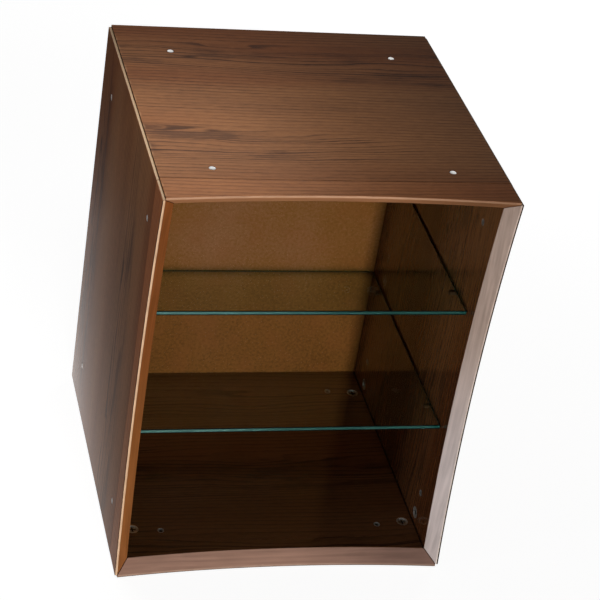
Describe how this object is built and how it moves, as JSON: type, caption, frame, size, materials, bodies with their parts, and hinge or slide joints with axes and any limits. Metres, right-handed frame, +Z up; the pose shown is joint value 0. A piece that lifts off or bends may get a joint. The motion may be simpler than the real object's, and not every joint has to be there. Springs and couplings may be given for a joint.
{
  "type": "cube storage unit",
  "caption": "Open-fronted storage cube in dark veneered board with mitred corners, a hollowed bevelled front, loose glass shelves and sleeved holes for linking cubes.",
  "frame": {"origin": "on the floor under the middle of the cube", "axes": "+Z up, open front faces -Y, +X to the right as seen from the front"},
  "size_m": [0.4, 0.4, 0.52],
  "materials": {
    "veneer": "satin lacquered dark walnut veneer",
    "lipping": "satin lacquered solid wood",
    "backboard": "smooth satin stained board",
    "shelf_glass": "clear float glass with ground edges",
    "pin_plastic": "dark brown moulded plastic",
    "nickel": "bright nickel plate",
    "zinc": "plated die-cast zinc",
    "steel": "zinc-plated steel",
    "beech": "plain turned beech"
  },
  "bodies": {
    "carcass": {"back_panel": "backboard", "bottom_lipping": "lipping", "bottom_panel": "veneer", "left_lipping": "lipping", "left_panel": "veneer", "link_caps_left": "nickel", "link_caps_right": "nickel", "link_caps_top": "nickel", "link_sleeves_bottom": "nickel", "link_sleeves_left": "nickel", "link_sleeves_right": "nickel", "link_sleeves_top": "nickel", "lower_shelf_pins": "pin_plastic", "mitre_bolts_bottom_left": "steel", "mitre_bolts_bottom_right": "steel", "mitre_bolts_top_left": "steel", "mitre_bolts_top_right": "steel", "mitre_dowels_bottom_left": "beech", "mitre_dowels_bottom_right": "beech", "mitre_dowels_top_left": "beech", "mitre_dowels_top_right": "beech", "right_lipping": "lipping", "right_panel": "veneer", "top_lipping": "lipping", "top_panel": "veneer", "upper_shelf_pins": "pin_plastic"},
    "upper_shelf": {"upper_shelf": "shelf_glass"},
    "lower_shelf": {"lower_shelf": "shelf_glass"},
    "cam_top_left_front": {"cam_top_left_front": "zinc"},
    "cam_left_top_front": {"cam_left_top_front": "zinc"},
    "cam_top_right_front": {"cam_top_right_front": "zinc"},
    "cam_right_top_front": {"cam_right_top_front": "zinc"},
    "cam_bottom_left_front": {"cam_bottom_left_front": "zinc"},
    "cam_left_bottom_front": {"cam_left_bottom_front": "zinc"},
    "cam_bottom_right_front": {"cam_bottom_right_front": "zinc"},
    "cam_right_bottom_front": {"cam_right_bottom_front": "zinc"},
    "cam_top_left_back": {"cam_top_left_back": "zinc"},
    "cam_left_top_back": {"cam_left_top_back": "zinc"},
    "cam_top_right_back": {"cam_top_right_back": "zinc"},
    "cam_right_top_back": {"cam_right_top_back": "zinc"},
    "cam_bottom_left_back": {"cam_bottom_left_back": "zinc"},
    "cam_left_bottom_back": {"cam_left_bottom_back": "zinc"},
    "cam_bottom_right_back": {"cam_bottom_right_back": "zinc"},
    "cam_right_bottom_back": {"cam_right_bottom_back": "zinc"}
  },
  "joints": [
    {"name": "upper_shelf_slide", "type": "slide", "parent": "carcass", "child": "upper_shelf", "axis": [0, -1, 0], "range_m": [0, 0.4]},
    {"name": "lower_shelf_slide", "type": "slide", "parent": "carcass", "child": "lower_shelf", "axis": [0, -1, 0], "range_m": [0, 0.4]},
    {"name": "cam_top_left_front_turn", "type": "hinge", "parent": "carcass", "child": "cam_top_left_front", "pos_m": [-0.17, -0.132, 0.504], "axis": [0, 0, -1], "range_deg": [0, 200]},
    {"name": "cam_left_top_front_turn", "type": "hinge", "parent": "carcass", "child": "cam_left_top_front", "pos_m": [-0.184, -0.132, 0.49], "axis": [1, 0, 0], "range_deg": [0, 200]},
    {"name": "cam_top_right_front_turn", "type": "hinge", "parent": "carcass", "child": "cam_top_right_front", "pos_m": [0.17, -0.132, 0.504], "axis": [0, 0, -1], "range_deg": [0, 200]},
    {"name": "cam_right_top_front_turn", "type": "hinge", "parent": "carcass", "child": "cam_right_top_front", "pos_m": [0.184, -0.132, 0.49], "axis": [-1, 0, 0], "range_deg": [0, 200]},
    {"name": "cam_bottom_left_front_turn", "type": "hinge", "parent": "carcass", "child": "cam_bottom_left_front", "pos_m": [-0.17, -0.132, 0.016], "axis": [0, 0, 1], "range_deg": [0, 200]},
    {"name": "cam_left_bottom_front_turn", "type": "hinge", "parent": "carcass", "child": "cam_left_bottom_front", "pos_m": [-0.184, -0.132, 0.03], "axis": [1, 0, 0], "range_deg": [0, 200]},
    {"name": "cam_bottom_right_front_turn", "type": "hinge", "parent": "carcass", "child": "cam_bottom_right_front", "pos_m": [0.17, -0.132, 0.016], "axis": [0, 0, 1], "range_deg": [0, 200]},
    {"name": "cam_right_bottom_front_turn", "type": "hinge", "parent": "carcass", "child": "cam_right_bottom_front", "pos_m": [0.184, -0.132, 0.03], "axis": [-1, 0, 0], "range_deg": [0, 200]},
    {"name": "cam_top_left_back_turn", "type": "hinge", "parent": "carcass", "child": "cam_top_left_back", "pos_m": [-0.17, 0.132, 0.504], "axis": [0, 0, -1], "range_deg": [0, 200]},
    {"name": "cam_left_top_back_turn", "type": "hinge", "parent": "carcass", "child": "cam_left_top_back", "pos_m": [-0.184, 0.132, 0.49], "axis": [1, 0, 0], "range_deg": [0, 200]},
    {"name": "cam_top_right_back_turn", "type": "hinge", "parent": "carcass", "child": "cam_top_right_back", "pos_m": [0.17, 0.132, 0.504], "axis": [0, 0, -1], "range_deg": [0, 200]},
    {"name": "cam_right_top_back_turn", "type": "hinge", "parent": "carcass", "child": "cam_right_top_back", "pos_m": [0.184, 0.132, 0.49], "axis": [-1, 0, 0], "range_deg": [0, 200]},
    {"name": "cam_bottom_left_back_turn", "type": "hinge", "parent": "carcass", "child": "cam_bottom_left_back", "pos_m": [-0.17, 0.132, 0.016], "axis": [0, 0, 1], "range_deg": [0, 200]},
    {"name": "cam_left_bottom_back_turn", "type": "hinge", "parent": "carcass", "child": "cam_left_bottom_back", "pos_m": [-0.184, 0.132, 0.03], "axis": [1, 0, 0], "range_deg": [0, 200]},
    {"name": "cam_bottom_right_back_turn", "type": "hinge", "parent": "carcass", "child": "cam_bottom_right_back", "pos_m": [0.17, 0.132, 0.016], "axis": [0, 0, 1], "range_deg": [0, 200]},
    {"name": "cam_right_bottom_back_turn", "type": "hinge", "parent": "carcass", "child": "cam_right_bottom_back", "pos_m": [0.184, 0.132, 0.03], "axis": [-1, 0, 0], "range_deg": [0, 200]}
  ]
}
